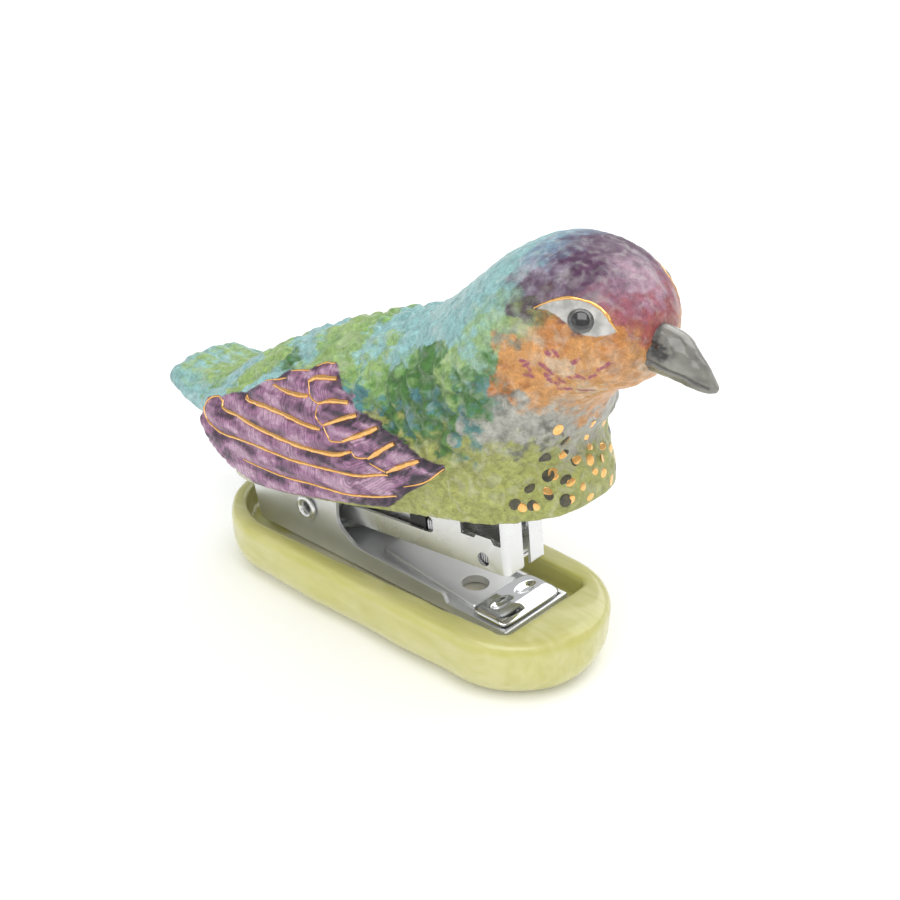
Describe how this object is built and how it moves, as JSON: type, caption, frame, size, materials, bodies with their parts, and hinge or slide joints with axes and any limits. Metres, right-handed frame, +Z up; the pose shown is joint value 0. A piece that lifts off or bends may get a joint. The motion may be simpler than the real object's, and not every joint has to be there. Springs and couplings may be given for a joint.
{
  "type": "mini stapler",
  "caption": "Small desk stapler with a hollow porcelain bird as its press handle, on an oval porcelain tray.",
  "frame": {"origin": "middle of the tray's flat resting face", "axes": "+X towards the beak and the anvil, +Y to the bird's left, +Z up"},
  "size_m": [0.1196, 0.0394, 0.0814],
  "materials": {
    "porcelain_green": "satin hand-painted glaze",
    "porcelain_blue": "gloss hand-painted glaze",
    "steel": "plated sheet steel",
    "chrome": "polished",
    "staple_wire": "bright wire",
    "black_plastic": "satin",
    "adhesive": "cured adhesive",
    "resin": "cured resin"
  },
  "bodies": {
    "base": {"tray": "porcelain_green", "tray_bond": "adhesive", "base_frame": "steel", "anvil_plate": "chrome", "anvil_rivet_left": "steel", "anvil_rivet_right": "steel", "pivot_rivet": "steel", "pivot_washer_left": "steel", "pivot_washer_right": "steel", "lift_spring": "steel", "lift_spring_rivet": "steel"},
    "magazine": {"magazine_channel": "steel", "staple_rail": "steel", "guide_rod": "steel", "staple_strip": "staple_wire", "pusher_spring": "steel"},
    "pusher": {"pusher": "black_plastic"},
    "bird": {"bird_body": "porcelain_blue", "handle_channel": "steel", "driver_blade": "steel", "driver_rivet_left": "steel", "driver_rivet_right": "steel", "press_spring": "steel", "press_spring_rivet": "steel", "resin_bed_front": "resin", "resin_bed_rear": "resin"}
  },
  "joints": [
    {"name": "magazine_swing", "type": "hinge", "parent": "base", "child": "magazine", "pos_m": [-0.0185, 0, 0.016], "axis": [0, 1, 0], "range_deg": [0, 8.6], "stiffness_Nm_per_rad": 0.5, "springref_deg": -14.32, "deforming": ["lift_spring"]},
    {"name": "handle_press", "type": "hinge", "parent": "magazine", "child": "bird", "pos_m": [-0.0185, 0, 0.016], "axis": [0, 1, 0], "range_deg": [-20, 7.4], "stiffness_Nm_per_rad": 1.2, "springref_deg": -1.72, "deforming": ["press_spring"]},
    {"name": "pusher_slide", "type": "slide", "parent": "magazine", "child": "pusher", "axis": [0.9942, 0, 0.108], "range_m": [-0.014, 0], "stiffness_N_per_m": 60, "springref_m": 0.02, "deforming": ["pusher_spring"]}
  ]
}
